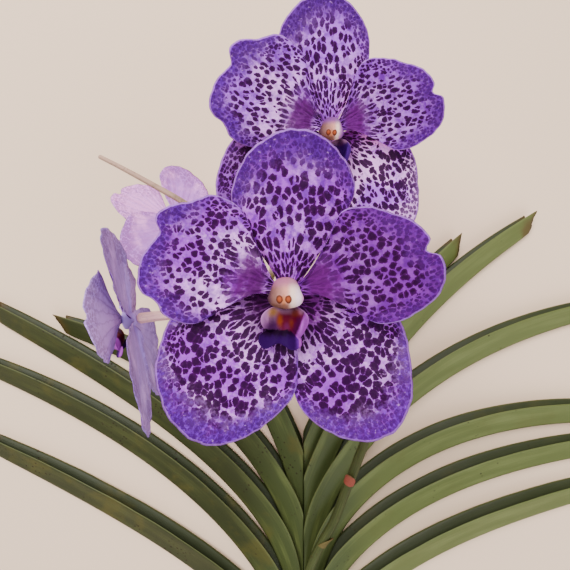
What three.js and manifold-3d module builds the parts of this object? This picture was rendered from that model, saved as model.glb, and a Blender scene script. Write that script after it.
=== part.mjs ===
// A blooming vanda orchid, lifted bare-root and laid on its back.
// Millimetres. The origin is the middle of the stem's flat underside, +Y runs up the plant
// along the stem, +X to its right, and +Z up from the surface it lies on.

import * as THREE from 'three';
import { mergeVertices } from 'three/addons/utils/BufferGeometryUtils.js';
import Module from 'manifold-3d';

const wasm = await Module();
wasm.setup();

// ---- driving dimensions ----

const SEAT_GAP = 0.3;

const STEM = {
  axisHeight: 8.8,
  sides: 16,
  // Half width and half depth of the stem with its clasping sheaths, up its length.
  rings: [
    [-46, 8.6, 8.6], [-36, 9.4, 9], [-24, 9.2, 9], [-14, 11, 9], [-2, 12, 9], [8, 13.6, 9], [20, 15, 8.8],
    [32, 15.4, 8.4], [42, 14, 7.6], [52, 10.8, 6.2], [58, 7.6, 4.6],
  ],
};

const LEAF = {
  wing: 19,
  thickness: 1.2,
  foldNear: 24,
  foldFar: 12,
  footFold: 25,
  openingLength: 70,
  footWidth: 0.5,
  stations: 12,
  tipStep: 7,
};

// Each leaf: its side, where it leaves the stem, how it sets out, where it bends to, how soon.
const LEAVES = [
  { name: 'leaf_left_1', side: -1, x: 7, y: -20, launch: 17, arch: 65, bend: 69, length: 270, tip: 2.7 },
  { name: 'leaf_left_2', side: -1, x: 7, y: 2, launch: 13, arch: 76, bend: 150, length: 296, tip: 2.7 },
  { name: 'leaf_left_3', side: -1, x: 10, y: 26, launch: -4, arch: 62, bend: 78, length: 300, tip: 2.7 },
  { name: 'leaf_left_4', side: -1, x: 6.8, y: 40, launch: -4, arch: 98, bend: 190, length: 256, tip: 2.7 },
  { name: 'leaf_left_5', side: -1, x: 2.2, y: 50, launch: -3, arch: 56, bend: 170, length: 250, tip: 2.7 },
  { name: 'leaf_right_1', side: 1, x: 7, y: -16, launch: 16, arch: 80, bend: 90, length: 276, tip: 2.7 },
  { name: 'leaf_right_2', side: 1, x: 8, y: 4, launch: 3, arch: 92, bend: 116, length: 296, tip: 2.7 },
  { name: 'leaf_right_3', side: 1, x: 11, y: 30, launch: -3, arch: 112, bend: 152, length: 300, tip: 2.7 },
  { name: 'leaf_right_4', side: 1, x: 8, y: 42, launch: -1, arch: 108, bend: 228, length: 300, tip: 2.7 },
  { name: 'leaf_right_5', side: 1, x: 4, y: 50, launch: 1, arch: 88, bend: 290, length: 294, tip: 2.7 },
  { name: 'leaf_right_6', side: 1, x: 0.4, y: 56, launch: -1, arch: 71, bend: 230, length: 250, tip: 2.7 },
];

const SPIKE = { footRadius: 3, tipRadius: 0.9, sides: 9, steps: 28 };
const SPIKE_PATH = [
  [2, 34, 12],
  [1.8, 50, 19],
  [3.5, 68, 20.5],
  [10.5, 85, 22],
  [18, 101, 26],
  [24, 124, 36],
  [30, 150, 50],
  [31, 171, 68],
  [18, 201, 86],
  [-2, 226, 93],
  [-18, 246, 95.5],
  [-34, 265, 98.5],
  [-46, 277.5, 104],
  [-56, 286, 110],
  [-70, 294, 113],
  [-83, 301, 115],
  [-93, 306, 116],
];
// Bracts: how far up the spike, towards which side they point, and their length.
const BRACTS = [
  { at: 0.16, towards: [0.9, 0, 0.5], length: 9 },
  { at: 0.31, towards: [-0.2, 0.3, 0.8], length: 10 },
  { at: 0.52, towards: [0.6, 0.6, 0.5], length: 9 },
  { at: 0.87, towards: [-0.3, -0.6, 0.5], length: 7 },
];
// A bract's half width at its foot and tip against its length, and its thickness against its width.
const BRACT = { foot: 0.3, tip: 0.06, flatness: 0.3, sides: 6, steps: 3 };

const TEPAL = { thickness: 1.0, sepalSpokes: 15, petalSpokes: 22, rings: 3 };
// The hub joins the five tepals; its front is where the column and the lip are seated.
const HUB = { radius: 5, depth: 7.4, front: 2.4, centre: [0.4, 0.4], sides: 10 };

// How far from the spike's axis a pedicel starts, its radius there, and its radius at the hub.
const PEDICEL = { start: 0.8, radius: 1.7, neckRadius: 2.5, sides: 7, steps: 9 };

const ROOT = { radius: 3.1, tipRadius: 2.4, sides: 7, steps: 9 };

// ---- solids from three.js geometry ----

function toSolid(geometry) {
  const plain = geometry.clone();
  plain.deleteAttribute('normal');
  plain.deleteAttribute('uv');
  const merged = mergeVertices(plain, 1e-4);
  return new wasm.Manifold(new wasm.Mesh({
    numProp: 3,
    vertProperties: new Float32Array(merged.attributes.position.array),
    triVerts: new Uint32Array(merged.index.array),
  }));
}

function toGeometry(solid) {
  const mesh = solid.getMesh();
  const geometry = new THREE.BufferGeometry();
  geometry.setAttribute('position', new THREE.BufferAttribute(mesh.vertProperties, 3));
  geometry.setIndex(new THREE.BufferAttribute(mesh.triVerts, 1));
  return geometry;
}

function join(geometries) {
  const [first, ...rest] = geometries.map(toSolid);
  return toGeometry(rest.reduce((whole, piece) => whole.add(piece), first));
}

function fromTriangles(points, triangles) {
  const geometry = new THREE.BufferGeometry();
  geometry.setAttribute('position', new THREE.Float32BufferAttribute(points.flatMap((p) => p.toArray()), 3));
  geometry.setIndex(triangles.flat());
  return geometry;
}

// Closes a stack of equal rings of points into one body with a flat cap at each end.
function loft(rings) {
  const sides = rings[0].length;
  const triangles = [];
  for (let k = 0; k + 1 < rings.length; k += 1) {
    for (let j = 0; j < sides; j += 1) {
      const next = (j + 1) % sides;
      const [a, b] = [k * sides + j, k * sides + next];
      const [c, d] = [a + sides, b + sides];
      triangles.push([a, b, d], [a, d, c]);
    }
  }
  const last = (rings.length - 1) * sides;
  for (let j = 1; j + 1 < sides; j += 1) {
    triangles.push([0, j + 1, j], [last, last + j, last + j + 1]);
  }
  return fromTriangles(rings.flat(), triangles);
}

// A round or oval stalk along a curve; radiusAt gives its radius from 0 at the foot to 1 at the tip.
function stalk(curve, radiusAt, sides, steps, flatness = 1) {
  const frames = curve.computeFrenetFrames(steps, false);
  const rings = [];
  for (let k = 0; k <= steps; k += 1) {
    const centre = curve.getPointAt(k / steps);
    const radius = radiusAt(k / steps);
    const ring = [];
    for (let j = 0; j < sides; j += 1) {
      const angle = (2 * Math.PI * j) / sides;
      const point = centre.clone();
      point.addScaledVector(frames.normals[k], radius * Math.cos(angle));
      point.addScaledVector(frames.binormals[k], radius * flatness * Math.sin(angle));
      ring.push(point);
    }
    rings.push(ring);
  }
  return loft(rings);
}

function curveThrough(points) {
  return new THREE.CatmullRomCurve3(points.map(([x, y, z]) => new THREE.Vector3(x, y, z)), false, 'centripetal');
}

function ellipsoid(radii, centre, columns = 12, rows = 8) {
  const geometry = new THREE.SphereGeometry(1, columns, rows);
  geometry.scale(...radii);
  geometry.translate(...centre);
  return geometry;
}

function cylinderAlongZ(topRadius, bottomRadius, [x, y], bottom, top, sides) {
  const geometry = new THREE.CylinderGeometry(topRadius, bottomRadius, top - bottom, sides);
  geometry.rotateX(Math.PI / 2);
  geometry.translate(x, y, (top + bottom) / 2);
  return geometry;
}

// ---- tepals: blades whose spokes fan out from a foot to the points of their outline ----

// The outline runs from one side of the foot over the tip to the other, anticlockwise from the front.
// heightAt(along, across, reach, turn) raises the middle surface; reach is 1 on the margin.
function fanBlade({ foot, tip, outline, heightAt, thickness, spokes, rings }) {
  const axis = new THREE.Vector2(tip[0] - foot[0], tip[1] - foot[1]);
  const length = axis.length();
  axis.normalize();
  const side = new THREE.Vector2(-axis.y, axis.x);
  const margin = new THREE.CatmullRomCurve3(
    outline.map(([x, y]) => new THREE.Vector3(x - foot[0], y - foot[1], 0)), false, 'centripetal',
  ).getSpacedPoints(spokes);
  const front = [];
  const back = [];
  const place = (along, across, reach, turn) => {
    const x = foot[0] + axis.x * along + side.x * across;
    const y = foot[1] + axis.y * along + side.y * across;
    const z = heightAt(along / length, across / length, reach, turn);
    front.push(new THREE.Vector3(x, y, z + thickness / 2));
    back.push(new THREE.Vector3(x, y, z - thickness / 2));
  };
  place(0, 0, 0, 0);
  for (let k = 1; k <= rings; k += 1) {
    const reach = k / rings;
    for (let j = 0; j <= spokes; j += 1) {
      const along = margin[j].x * axis.x + margin[j].y * axis.y;
      const across = margin[j].x * side.x + margin[j].y * side.y;
      place(along * reach, across * reach ** 1.5, reach, j / spokes);
    }
  }
  const behind = front.length;
  const at = (k, j) => (k === 0 ? 0 : 1 + (k - 1) * (spokes + 1) + j);
  const triangles = [];
  const bothFaces = (a, b, c) => triangles.push([a, b, c], [behind + a, behind + c, behind + b]);
  const wall = (a, b) => triangles.push([a, behind + a, behind + b], [a, behind + b, b]);
  for (let j = 0; j < spokes; j += 1) {
    bothFaces(0, at(1, j), at(1, j + 1));
    for (let k = 1; k < rings; k += 1) {
      bothFaces(at(k, j), at(k + 1, j), at(k + 1, j + 1));
      bothFaces(at(k, j), at(k + 1, j + 1), at(k, j + 1));
    }
    wall(at(rings, j), at(rings, j + 1));
  }
  for (let k = 0; k < rings; k += 1) {
    wall(at(k, 0), at(k + 1, 0));
    wall(at(k + 1, spokes), at(k, spokes));
  }
  return fromTriangles([...front, ...back], triangles);
}

// The five tepals of a bloom, seen from its front with the column's foot at 0, 0.
const DORSAL_SEPAL = {
  foot: [1, 1],
  tip: [3, 59],
  outline: [
    [5, 4.2], [7.2, 7.6], [12.4, 15.5], [20.6, 29.5], [23.8, 39.5], [20, 50.5], [12.4, 57.4], [3, 59.3],
    [-8, 55.2], [-15.5, 47.3], [-19.3, 36], [-16.5, 27.5], [-10.7, 18], [-4, 8], [-2.6, 4.6],
  ],
};
const LEFT_PETAL = {
  foot: [-1, 2.6],
  tip: [-48, 14],
  outline: [
    [-5, 6.4], [-7.8, 8.4], [-11, 19.5], [-13.8, 28], [-18.5, 32.8], [-26, 34.8], [-32, 32.3], [-40.5, 30.4],
    [-44.2, 27.2], [-42.9, 21.8], [-48, 15.6], [-50.4, 6.4], [-48.3, 1.2], [-44.2, -1.2], [-40.5, -6.6],
    [-31.4, -9.3], [-21, -4], [-13.8, 0.2], [-7.4, 1.2], [-4.4, 0.6],
  ],
};
const RIGHT_PETAL = {
  foot: [1.6, 2.6],
  tip: [51, 12],
  outline: [
    [4.6, 0.4], [8.2, 0.6], [13.8, 0.2], [20, -2.8], [31.7, -9], [40, -7.9], [50, -2.1], [54, 2.6],
    [54.8, 8.8], [52.8, 13.8], [48, 15.7], [48.9, 19.6], [45.3, 24.4], [38, 28.4], [28, 31], [19.6, 29.2],
    [16.6, 20.4], [11.7, 12.2], [8.4, 7.6], [5.4, 6],
  ],
};
const LEFT_SEPAL = {
  foot: [-0.6, -1],
  tip: [-27, -51],
  outline: [
    [-4.2, 0.4], [-10, 1.6], [-24, 0.6], [-38.4, -6], [-43.4, -15.4], [-45, -27], [-41, -40], [-33, -48.6],
    [-24, -51.4], [-12, -47.8], [-2.6, -39.4], [2, -31], [2.9, -21], [1.2, -11], [0.6, -5.4],
  ],
};
const RIGHT_SEPAL = {
  foot: [1.4, -1],
  tip: [30, -49.5],
  outline: [
    [0.6, -5.6], [1.8, -11], [3.2, -19], [3.4, -31], [8, -40.6], [18, -47.6], [28.4, -49.8], [38, -46.2],
    [43.2, -38], [43.6, -24], [38.8, -7], [26, 0], [12, 1.6], [5, 0.4],
  ],
};

// A gentle height field: the foot's level, a cupped or reflexed blade, a midrib and waves at the edge.
function tepalHeight({ level, rise, cup, midrib, wave, waves, phase }) {
  return (along, across, reach, turn) => {
    const fold = midrib * Math.exp(-((across / 0.07) ** 2)) * Math.sin(Math.PI * Math.min(1, Math.max(0, along)));
    const ripple = wave * Math.sin(2 * Math.PI * (waves * turn + phase)) * reach ** 3;
    return level + rise * reach + cup * across ** 2 - fold + ripple;
  };
}

const TEPALS = [
  {
    name: 'dorsalSepal',
    ...DORSAL_SEPAL,
    spokes: TEPAL.sepalSpokes,
    form: { level: -1.1, rise: -3.2, cup: -9, midrib: 0.8, wave: 0.9, waves: 2, phase: 0.1 },
  },
  {
    name: 'leftSepal',
    ...LEFT_SEPAL,
    spokes: TEPAL.sepalSpokes,
    form: { level: -1.2, rise: -1.4, cup: -8, midrib: 0.8, wave: 0.9, waves: 2, phase: 0.3 },
  },
  {
    name: 'rightSepal',
    ...RIGHT_SEPAL,
    spokes: TEPAL.sepalSpokes,
    form: { level: -2.6, rise: -2.2, cup: -8, midrib: 0.8, wave: 0.9, waves: 2, phase: 0.7 },
  },
  {
    name: 'leftPetal',
    ...LEFT_PETAL,
    spokes: TEPAL.petalSpokes,
    form: { level: 1.4, rise: 1.2, cup: -4, midrib: 0.7, wave: 1.3, waves: 3, phase: 0.2 },
  },
  {
    name: 'rightPetal',
    ...RIGHT_PETAL,
    spokes: TEPAL.petalSpokes,
    form: { level: 1.4, rise: 1.2, cup: -4, midrib: 0.7, wave: 1.3, waves: 3, phase: 0.6 },
  },
];

function tepalsGeometry({ turns, sizes }) {
  const blades = TEPALS.map(({ name, foot, tip, outline, spokes, form }) => {
    const size = sizes[name] ?? 1;
    const blade = fanBlade({
      foot,
      tip,
      outline,
      heightAt: tepalHeight(form),
      thickness: TEPAL.thickness,
      spokes,
      rings: TEPAL.rings,
    });
    return blade.scale(size, size, 1).rotateZ(THREE.MathUtils.degToRad(turns[name] ?? 0));
  });
  const hub = cylinderAlongZ(HUB.radius, PEDICEL.neckRadius, HUB.centre, HUB.front - HUB.depth, HUB.front, HUB.sides);
  return join([hub, ...blades]);
}

// ---- column and lip ----

const COLUMN = { radii: [6, 5, 4.6], centre: [0.2, 1.6, 9], neckRadius: 3.4, neckSides: 10, foot: 2.9 };

function columnGeometry() {
  const [x, y, z] = COLUMN.centre;
  const head = ellipsoid(COLUMN.radii, COLUMN.centre, 12, 8);
  const neck = cylinderAlongZ(COLUMN.neckRadius, COLUMN.neckRadius, [x, y], COLUMN.foot, z, COLUMN.neckSides);
  return join([head, neck]);
}

const LIP = {
  throat: { radii: [4.6, 5, 2.6], centre: [0.8, -8, 5.4] },
  leftLobe: { radii: [2.2, 3.8, 3.2], centre: [-4.6, -7.4, 8] },
  rightLobe: { radii: [2.2, 4.2, 3.4], centre: [5.6, -8.4, 8] },
};
const LIP_FOOT = { radius: 1.2, centre: [0.8, -3.6], top: 5.6, sides: 6 };
const LIP_FRONT = {
  foot: [0, -7.5],
  tip: [-1.6, -19],
  outline: [
    [-3, -9.6], [-6.4, -11.2], [-8.7, -13], [-8.8, -15.4], [-6.6, -17], [-2.1, -15.2], [2.5, -17.4],
    [5.4, -16.4], [5.3, -13.2], [3.4, -11], [2.4, -9.4],
  ],
};

function lipGeometry() {
  const lobes = Object.values(LIP).map(({ radii, centre }) => ellipsoid(radii, centre, 8, 5));
  const front = fanBlade({
    ...LIP_FRONT,
    heightAt: (along, across) => 6.2 + 4.4 * along - 9 * across ** 2,
    thickness: 1.4,
    spokes: 12,
    rings: 2,
  });
  const { radius, centre, top, sides } = LIP_FOOT;
  const foot = cylinderAlongZ(radius, radius, centre, HUB.front + SEAT_GAP, top, sides);
  return join([...lobes, front, foot]);
}

// ---- blooms on the spike ----

// Each bloom: where its column's foot is, which way it faces, its roll about that line, its size,
// where its stalk leaves the spike (0 at the spike's foot to 1 at its tip), how far its own tepals
// are turned from the usual places, in degrees, and their sizes against the usual ones.
const BLOOMS = [
  {
    name: 'a',
    centre: [-12, 246, 158],
    facing: [0, 0, 1],
    roll: 0,
    size: 1,
    from: 0.63,
    turns: {},
    sizes: { leftSepal: 1.02, rightSepal: 1.04 },
  },
  {
    name: 'b',
    centre: [6.8, 316.2, 115],
    facing: [0.06, -0.24, 0.97],
    roll: -2,
    size: 1,
    from: 0.73,
    turns: { dorsalSepal: 13, leftPetal: -8, rightPetal: 2, rightSepal: 4 },
    sizes: { dorsalSepal: 0.95, leftPetal: 1.04, rightPetal: 0.9 },
  },
  {
    name: 'c',
    centre: [-73.6, 284.2, 43.7],
    facing: [-0.52, -0.46, -0.72],
    roll: 17,
    size: 0.74,
    from: 0.79,
    turns: {},
    sizes: {},
  },
  {
    name: 'd',
    centre: [-87, 233, 97],
    facing: [-0.96, -0.18, 0.1],
    roll: -11,
    size: 0.93,
    from: 0.68,
    turns: { dorsalSepal: -24 },
    sizes: { dorsalSepal: 0.9 },
  },
];

function facingGroup({ centre, facing, roll, size }) {
  const group = new THREE.Group();
  const forward = new THREE.Vector3(...facing).normalize();
  const up = new THREE.Vector3(0, 1, 0).addScaledVector(forward, -forward.y).normalize();
  const right = new THREE.Vector3().crossVectors(up, forward);
  group.quaternion.setFromRotationMatrix(new THREE.Matrix4().makeBasis(right, up, forward));
  group.rotateZ(THREE.MathUtils.degToRad(roll));
  group.position.set(...centre);
  group.scale.setScalar(size);
  return group;
}

function pedicelGeometry(spike, { centre, facing, from, size }) {
  const forward = new THREE.Vector3(...facing).normalize();
  const hubBack = HUB.depth - HUB.front;
  const end = new THREE.Vector3(...centre).addScaledVector(forward, -(hubBack + SEAT_GAP) * size);
  const axisPoint = spike.getPointAt(from);
  const away = end.clone().addScaledVector(forward, -16).sub(axisPoint).normalize();
  const start = axisPoint.clone().addScaledVector(away, PEDICEL.start);
  const curve = new THREE.CubicBezierCurve3(
    start,
    start.clone().addScaledVector(away, 14),
    end.clone().addScaledVector(forward, -18),
    end,
  );
  const radiusAt = (t) => THREE.MathUtils.lerp(PEDICEL.radius, PEDICEL.neckRadius * size, t * t);
  const pedicel = stalk(curve, radiusAt, PEDICEL.sides, PEDICEL.steps);
  return toGeometry(toSolid(pedicel).subtract(toSolid(spikeStalk(spike, SEAT_GAP))));
}

// ---- spike ----

function spikeRadius(t) {
  return THREE.MathUtils.lerp(SPIKE.footRadius, SPIKE.tipRadius, t * t);
}

function bractGeometry(spike, { at, towards, length }) {
  const start = spike.getPointAt(at);
  const lean = new THREE.Vector3(...towards).normalize().multiplyScalar(spikeRadius(at) * 1.2);
  const curve = new THREE.QuadraticBezierCurve3(
    start,
    start.clone().add(lean),
    start.clone().add(lean).addScaledVector(spike.getTangentAt(at), length),
  );
  const radiusAt = (t) => length * THREE.MathUtils.lerp(BRACT.foot, BRACT.tip, t * t);
  return stalk(curve, radiusAt, BRACT.sides, BRACT.steps, BRACT.flatness);
}

function spikeStalk(spike, clearance) {
  return stalk(spike, (t) => spikeRadius(t) + clearance, SPIKE.sides, SPIKE.steps);
}

function spikeGeometry(spike) {
  return join([spikeStalk(spike, 0), ...BRACTS.map((bract) => bractGeometry(spike, bract))]);
}

// ---- leaves ----

// The keel's course in the plane of the fan, with its heading in radians from straight up.
function leafCourse({ side, x, y, launch, arch, bend, length }) {
  const fineSteps = LEAF.stations * 4;
  const step = length / fineSteps;
  const course = [];
  let [px, py] = [side * x, y];
  for (let k = 0; k <= fineSteps; k += 1) {
    const s = k * step;
    const heading = THREE.MathUtils.degToRad(launch + (arch - launch) * (1 - Math.exp(-s / bend)));
    if (k % 4 === 0) {
      course.push({ s, x: px, y: py, heading });
    }
    px += side * Math.sin(heading) * step;
    py += Math.cos(heading) * step;
  }
  return course;
}

// A folded strap: the keel is its lower edge, one wing leans towards +Z and one lies under it.
function leafGeometry(leaf) {
  const rings = leafCourse(leaf).map(({ s, x, y, heading }) => {
    const opened = THREE.MathUtils.smoothstep(s, 0, LEAF.openingLength);
    const along = s / leaf.length;
    const width = LEAF.wing * THREE.MathUtils.lerp(LEAF.footWidth, 1, opened) * (1 - 0.35 * along ** 4);
    const near = THREE.MathUtils.degToRad(THREE.MathUtils.lerp(LEAF.footFold, LEAF.foldNear, opened));
    const far = THREE.MathUtils.degToRad(THREE.MathUtils.lerp(LEAF.footFold, LEAF.foldFar, opened));
    const height = THREE.MathUtils.lerp(STEM.axisHeight, leaf.tip, along ** 1.5);
    const inward = new THREE.Vector3(-leaf.side * Math.cos(heading), Math.sin(heading), 0);
    const onward = new THREE.Vector3(leaf.side * Math.sin(heading), Math.cos(heading), 0);
    const keel = new THREE.Vector3(x, y, height);
    const isTip = s === leaf.length;
    const point = (reach, angle, thickness, step) => keel.clone()
      .addScaledVector(inward, reach * Math.cos(angle) + thickness)
      .add(new THREE.Vector3(0, 0, reach * Math.sin(angle)))
      .addScaledVector(onward, isTip ? step : 0);
    const wall = LEAF.thickness / Math.sin((near + far) / 2);
    return [
      point(0, 0, 0, -LEAF.tipStep),
      point(width, -far, 0, 0),
      point(width, -far, wall, 0),
      point(0, 0, wall, -LEAF.tipStep),
      point(width, near, wall, LEAF.tipStep),
      point(width, near, 0, LEAF.tipStep),
    ];
  });
  const strap = loft(leaf.side > 0 ? rings : rings.map((ring) => [...ring].reverse()));
  const otherRank = new THREE.BoxGeometry(100, 700, 100);
  otherRank.translate(-leaf.side * (50 - SEAT_GAP / 2), 0, 0);
  return seatOnStem(toGeometry(toSolid(strap).subtract(toSolid(otherRank))));
}

// ---- stem with the leaf sheaths ----

// The sheathed stem, grown all round by clearance where another piece is to be seated on it.
function stemSolid(clearance = 0) {
  const rings = STEM.rings.map(([y, halfWidth, halfDepth], index) => {
    const beyond = index === 0 ? -clearance : 0;
    const above = index === STEM.rings.length - 1 ? clearance : 0;
    return Array.from({ length: STEM.sides }, (_, j) => {
      const angle = (2 * Math.PI * (j + 0.5)) / STEM.sides;
      return new THREE.Vector3(
        (halfWidth + clearance) * Math.sin(angle),
        y + beyond + above,
        STEM.axisHeight + (halfDepth + clearance) * Math.cos(angle),
      );
    });
  });
  const below = new THREE.BoxGeometry(200, 200, 40);
  below.translate(0, 0, -20 - clearance);
  return toSolid(loft(rings)).subtract(toSolid(below));
}

// Cuts a piece back to its seat on the stem.
function seatOnStem(geometry) {
  return toGeometry(toSolid(geometry).subtract(stemSolid(SEAT_GAP)));
}

// ---- roots ----

const ROOTS = [
  [[-9, -30, 6], [-26, -46, 3.4], [-52, -58, 3.2], [-80, -88, 2.5]],
  [[9, -28, 6], [24, -50, 3.4], [44, -72, 3.2], [66, -112, 2.5]],
  [[-4, -46, 8], [-12, -70, 4], [-14, -96, 3.2], [-30, -128, 2.5]],
  [[4, -46, 8], [10, -72, 4], [26, -100, 3.2], [24, -136, 2.5]],
];

function rootGeometry(points) {
  const radiusAt = (t) => THREE.MathUtils.lerp(ROOT.radius, ROOT.tipRadius, t);
  return stalk(curveThrough(points), radiusAt, ROOT.sides, ROOT.steps);
}

// ---- the plant ----

const COLOURS = {
  leaf: { color: 0x6f8c3c, roughness: 0.5 },
  stem: { color: 0x7d8a4a, roughness: 0.7 },
  spike: { color: 0x5f7434, roughness: 0.55 },
  root: { color: 0xa9ab98, roughness: 0.85 },
  tepals: { color: 0x7a4fae, roughness: 0.6 },
  pedicel: { color: 0xd9c7cf, roughness: 0.55 },
  column: { color: 0xf2e3d2, roughness: 0.45 },
  lip: { color: 0x3a2b8e, roughness: 0.45 },
};

function addMesh(parent, name, geometry, colour) {
  const plain = geometry.index ? geometry.toNonIndexed() : geometry;
  plain.computeVertexNormals();
  const mesh = new THREE.Mesh(plain, new THREE.MeshStandardMaterial({ ...COLOURS[colour], metalness: 0 }));
  mesh.name = name;
  parent.add(mesh);
}

const group = new THREE.Group();
const spike = curveThrough(SPIKE_PATH);

addMesh(group, 'stem', toGeometry(stemSolid()), 'stem');
addMesh(group, 'flower_spike', seatOnStem(spikeGeometry(spike)), 'spike');
LEAVES.forEach((leaf) => addMesh(group, leaf.name, leafGeometry(leaf), 'leaf'));
ROOTS.forEach((points, index) => addMesh(group, `root_${index + 1}`, seatOnStem(rootGeometry(points)), 'root'));

BLOOMS.forEach((bloom) => {
  const flower = facingGroup(bloom);
  addMesh(flower, `bloom_${bloom.name}_tepals`, tepalsGeometry(bloom), 'tepals');
  addMesh(flower, `bloom_${bloom.name}_column`, columnGeometry(), 'column');
  addMesh(flower, `bloom_${bloom.name}_lip`, lipGeometry(), 'lip');
  group.add(flower);
  addMesh(group, `pedicel_${bloom.name}`, pedicelGeometry(spike, bloom), 'pedicel');
});

export default group;
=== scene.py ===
import math

import bmesh
import bpy
import numpy as np
from mathutils import Matrix, Vector


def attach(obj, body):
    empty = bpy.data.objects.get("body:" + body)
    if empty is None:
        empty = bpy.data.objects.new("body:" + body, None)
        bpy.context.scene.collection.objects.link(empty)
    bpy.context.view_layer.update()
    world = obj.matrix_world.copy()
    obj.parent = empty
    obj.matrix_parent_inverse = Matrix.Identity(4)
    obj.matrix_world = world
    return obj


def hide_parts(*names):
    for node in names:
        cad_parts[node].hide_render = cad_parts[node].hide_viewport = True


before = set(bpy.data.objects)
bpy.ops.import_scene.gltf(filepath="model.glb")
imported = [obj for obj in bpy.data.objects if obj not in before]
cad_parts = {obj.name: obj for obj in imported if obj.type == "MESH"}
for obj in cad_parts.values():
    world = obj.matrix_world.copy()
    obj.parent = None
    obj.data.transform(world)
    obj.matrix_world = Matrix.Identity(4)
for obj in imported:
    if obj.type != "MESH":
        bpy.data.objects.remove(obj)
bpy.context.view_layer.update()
mm = 0.001
weld = 2e-5  # points of one mesh that lie closer than this, in metres, become one


# Node trees: a Wire is a socket that takes plain arithmetic, a Board adds nodes to one tree

class Wire:
    def __init__(self, board, socket):
        self.board = board
        self.socket = socket

    def out(self, name):
        return Wire(self.board, self.socket.node.outputs[name])

    def __rsub__(self, other):
        return self.board.math("SUBTRACT", other, self)

    def __neg__(self):
        return self * -1.0


def giveWire(name, operation):
    setattr(Wire, name, lambda self, *others: self.board.math(operation, self, *others))


for name, operation in {
    "sin": "SINE", "cos": "COSINE", "__abs__": "ABSOLUTE", "__add__": "ADD", "__radd__": "ADD",
    "__sub__": "SUBTRACT", "__mul__": "MULTIPLY", "__rmul__": "MULTIPLY", "__truediv__": "DIVIDE",
    "__pow__": "POWER",
}.items():
    giveWire(name, operation)


class Board:
    def __init__(self, tree, material=None, look=None):
        self.tree = tree
        self.material = material
        self.look = look or {}

    def fill(self, node, inputs):
        for key, value in inputs.items():
            if isinstance(value, Wire):
                self.tree.links.new(value.socket, node.inputs[key])
            else:
                node.inputs[key].default_value = value

    def add(self, kind, inputs=None, output=0, **settings):
        node = self.tree.nodes.new(kind)
        for key, value in settings.items():
            setattr(node, key, value)
        self.fill(node, inputs or {})
        return Wire(self, node.outputs[output])

    def attribute(self, name):
        return self.add("ShaderNodeAttribute", None, "Vector", attribute_name=name)

    def place(self):
        return self.add("ShaderNodeTexCoord", None, "Object")

    def math(self, operation, *values):
        return self.add("ShaderNodeMath", dict(enumerate(values)), operation=operation)

    def vector(self, operation, *values):
        return self.add("ShaderNodeVectorMath", dict(enumerate(values)), operation=operation)

    def scaled(self, vector, amount):
        return self.add("ShaderNodeVectorMath", {0: vector, "Scale": amount}, operation="SCALE")

    def combine(self, x, y, z=0.0):
        return self.add("ShaderNodeCombineXYZ", {0: x, 1: y, 2: z})

    def split(self, vector):
        # the three numbers of a wire or of a named attribute
        vector = self.attribute(vector) if isinstance(vector, str) else vector
        parts = self.add("ShaderNodeSeparateXYZ", {0: vector})
        return parts.out("X"), parts.out("Y"), parts.out("Z")

    def rise(self, value, low, high):
        # a smooth way from 0 at low to 1 at high
        inputs = {"Value": value, "From Min": low, "From Max": high}
        return self.add("ShaderNodeMapRange", inputs, interpolation_type="SMOOTHSTEP")

    def fall(self, value, low, high):
        return 1.0 - self.rise(value, low, high)

    def noise(self, where, scale, detail=2.0, roughness=0.5, seed=None):
        inputs = {"Vector": where, "Scale": scale, "Detail": detail, "Roughness": roughness}
        if seed is None:
            return self.add("ShaderNodeTexNoise", inputs)
        return self.add("ShaderNodeTexNoise", {**inputs, "W": seed}, noise_dimensions="4D")

    def mix(self, factor, under, over):
        # each colour is a wire, a name in the look or six hexadecimal digits
        under, over = (colour(self.look.get(c, c)) if isinstance(c, str) else c for c in (under, over))
        return self.add("ShaderNodeMix", {0: factor, 6: under, 7: over}, 2, data_type="RGBA")

    def paint(self, skin, *layers):
        # tints laid one over the other, each by its own factor
        for factor, tint in layers:
            skin = self.mix(factor, skin, tint)
        return skin

    def wear(self, skin, roughness, shine=0.5, relief=None, strength=0.0, depth=0.0):
        # ends a material: its colour, its reflections and, where it has one, its relief
        sockets = {"Base Color": skin, "Roughness": roughness, "Specular IOR Level": shine}
        if relief:
            bump = {"Strength": strength, "Distance": depth, "Height": relief}
            sockets["Normal"] = self.add("ShaderNodeBump", bump, "Normal")
        self.fill(self.tree.nodes["Principled BSDF"], sockets)
        return self.material


def colour(code):
    # six hexadecimal digits in linear light
    parts = [int(code[k:k + 2], 16) / 255 for k in (0, 2, 4)]
    linear = [c / 12.92 if c < 0.04045 else ((c + 0.055) / 1.055) ** 2.4 for c in parts]
    return (*linear, 1.0)


def newMaterial(name, look=None):
    material = bpy.data.materials.new(name)
    material.use_nodes = True
    return Board(material.node_tree, material, look)


def fromMiddle(x, y, middleX, middleY, wide, high):
    # 0 at the middle of an ellipse and 1 on it
    return (((x - middleX) / wide) ** 2 + ((y - middleY) / high) ** 2) ** 0.5


# Meshes

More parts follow.
